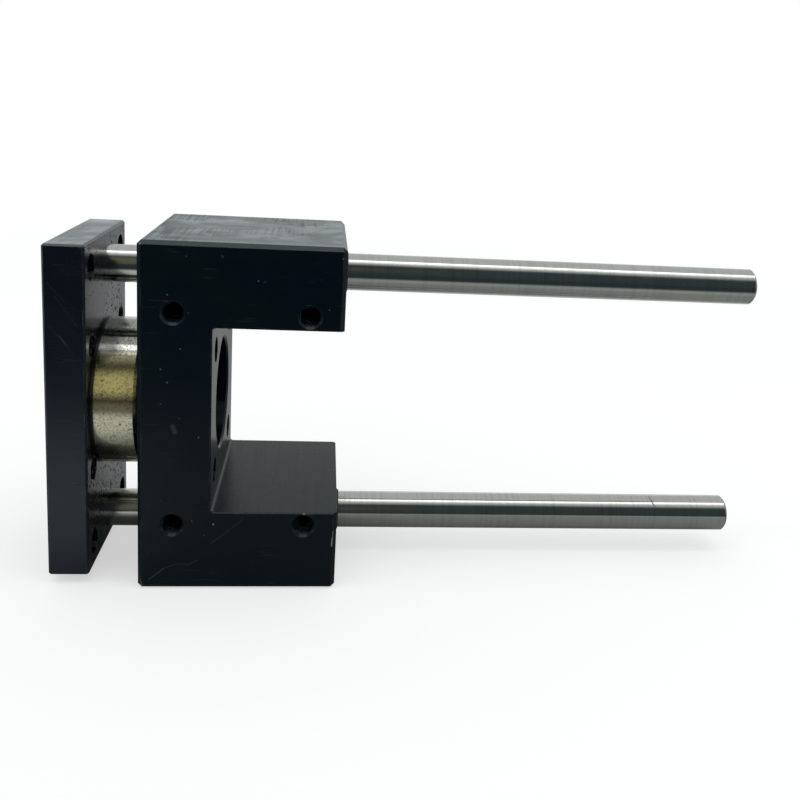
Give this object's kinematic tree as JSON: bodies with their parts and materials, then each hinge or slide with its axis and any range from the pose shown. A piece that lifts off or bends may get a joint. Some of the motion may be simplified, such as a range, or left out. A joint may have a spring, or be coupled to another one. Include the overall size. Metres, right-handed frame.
{
  "type": "linear guide unit",
  "caption": "U-shaped guide unit for a pneumatic cylinder: ground rods slide through the housing's arms and carry a front plate with a round floating coupling for the piston rod.",
  "frame": {"origin": "centre of the cylinder's bolt square, on the web face that the cylinder's cover seats on", "axes": "+X along the guide rods towards their free ends, +Z from the lower rod to the upper rod, +Y towards the back in the picture"},
  "size_m": [0.1875, 0.05, 0.09],
  "materials": {
    "anodised_black": "black anodised, satin",
    "turned_steel": "turned, satin",
    "hardened_steel": "ground",
    "ground_steel": "ground and polished",
    "black_screw_steel": "black oxide",
    "bronze": "machined",
    "wiper_rubber": "matte",
    "spring_steel": "phosphated"
  },
  "bodies": {
    "housing_unit": {"housing": "anodised_black", "bush_upper_web": "bronze", "bush_upper_tip": "bronze", "bush_lower_web": "bronze", "bush_lower_tip": "bronze", "wiper_upper_web": "wiper_rubber", "wiper_upper_tip": "wiper_rubber", "wiper_lower_web": "wiper_rubber", "wiper_lower_tip": "wiper_rubber", "retaining_ring_upper_web": "spring_steel", "retaining_ring_upper_tip": "spring_steel", "retaining_ring_lower_web": "spring_steel", "retaining_ring_lower_tip": "spring_steel"},
    "carriage": {"front_plate": "anodised_black", "guide_rod_upper": "ground_steel", "guide_rod_lower": "ground_steel", "rod_screw_upper": "black_screw_steel", "rod_screw_lower": "black_screw_steel", "coupling_body": "turned_steel", "thrust_washer_nose": "hardened_steel", "thrust_washer_plate": "hardened_steel", "coupling_screws": "black_screw_steel"},
    "adapter": {"coupling_adapter": "turned_steel"}
  },
  "joints": [
    {"name": "guide_slide", "type": "slide", "parent": "housing_unit", "child": "carriage", "axis": [-1, 0, 0], "range_m": [-0.0014, 0.11]},
    {"name": "adapter_spin", "type": "hinge", "parent": "carriage", "child": "adapter", "pos_m": [-0.02825, 0, 0], "axis": [1, 0, 0], "continuous": true}
  ]
}
